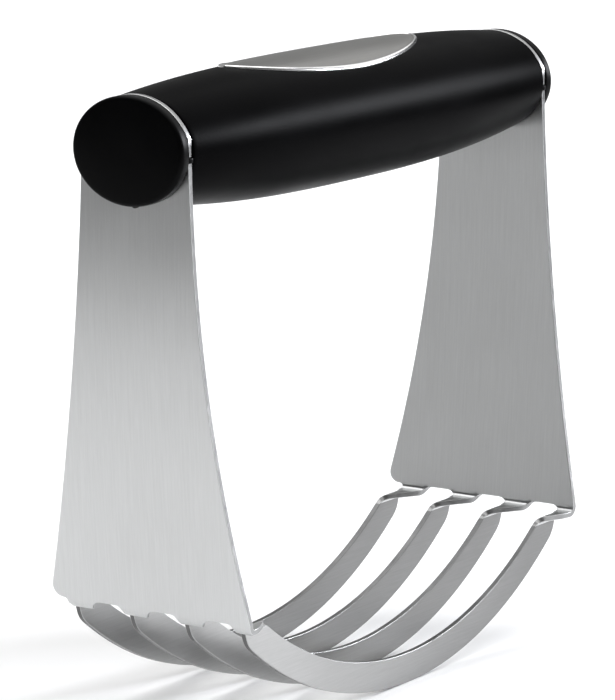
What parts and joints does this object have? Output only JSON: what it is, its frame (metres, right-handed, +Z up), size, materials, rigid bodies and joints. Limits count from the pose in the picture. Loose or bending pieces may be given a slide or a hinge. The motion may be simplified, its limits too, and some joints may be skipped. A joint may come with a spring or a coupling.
{
  "type": "pastry blender",
  "caption": "Hand pastry blender: an oval soft grip between two flared steel side plates that carry curved on-edge blades.",
  "frame": {"origin": "bottom centre of the bounding box, under the blades' lowest points", "axes": "+X along the grip, +Y across the blades, +Z up from the blades to the grip"},
  "size_m": [0.13, 0.0441, 0.1211],
  "materials": {
    "brushed_frame": "fine directional brushing, along the plates' height and along the grip on the blades",
    "core_plastic": "plain moulded plastic, hidden",
    "soft_rubber": "satin soft-touch black",
    "badge_steel": "brushed face with a polished raised rim",
    "adhesive_pad": "thin foam tape, hidden",
    "cap_plastic": "satin black plastic",
    "screw_steel": "plain zinc-bright steel, hidden"
  },
  "bodies": {
    "root": {"left_side_plate": "brushed_frame", "right_side_plate": "brushed_frame", "blade_1": "brushed_frame", "blade_2": "brushed_frame", "blade_3": "brushed_frame", "blade_4": "brushed_frame", "grip_core": "core_plastic", "soft_grip": "soft_rubber", "badge": "badge_steel", "badge_pad": "adhesive_pad", "left_end_cap": "cap_plastic", "right_end_cap": "cap_plastic", "left_screw": "screw_steel", "right_screw": "screw_steel"}
  },
  "joints": []
}
